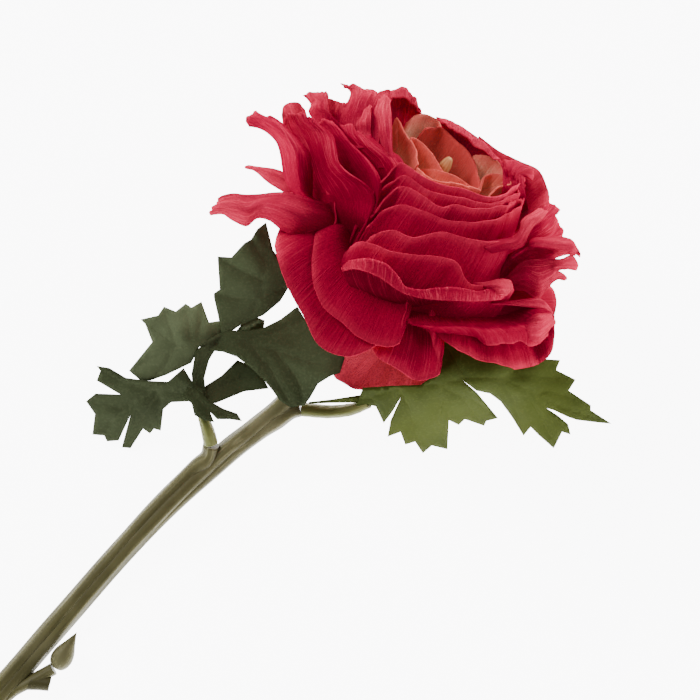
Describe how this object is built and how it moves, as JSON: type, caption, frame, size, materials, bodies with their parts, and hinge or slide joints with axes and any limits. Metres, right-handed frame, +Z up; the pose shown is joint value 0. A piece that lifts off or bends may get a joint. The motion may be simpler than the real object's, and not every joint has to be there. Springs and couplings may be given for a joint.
{
  "type": "persian buttercup flower",
  "caption": "Artificial Persian buttercup: a full crimson silk bloom with ochre heart petals, lobed green leaves and a bundled olive stem with a plain cut end, lying on its side.",
  "frame": {"origin": "on the table, under the middle of the part's bounding box", "axes": "+Z up from the table; the bloom opens towards +X +Y and up; the stem runs towards -X -Y"},
  "size_m": [0.177, 0.1778, 0.0752],
  "materials": {
    "stem": "moulded olive-brown plastic with a soft sheen",
    "calyx": "moulded green plastic",
    "stalk": "pale yellow-green plastic, a little translucent",
    "pistil": "pale olive plastic",
    "petal_red": "crimson woven silk, creased, pinker at the rims",
    "petal_heart": "ochre woven silk with rose edges",
    "leaf_grey": "dark grey-green printed fabric",
    "leaf_bright": "bright olive-green printed fabric"
  },
  "bodies": {
    "root": {"stem": "stem", "bud": "stem", "calyx": "calyx", "stalk_left": "stalk", "stalk_right": "stalk", "pistil": "pistil", "petals_red": "petal_red", "petals_heart": "petal_heart", "leaf_left": "leaf_grey", "leaf_right": "leaf_bright"}
  },
  "joints": []
}
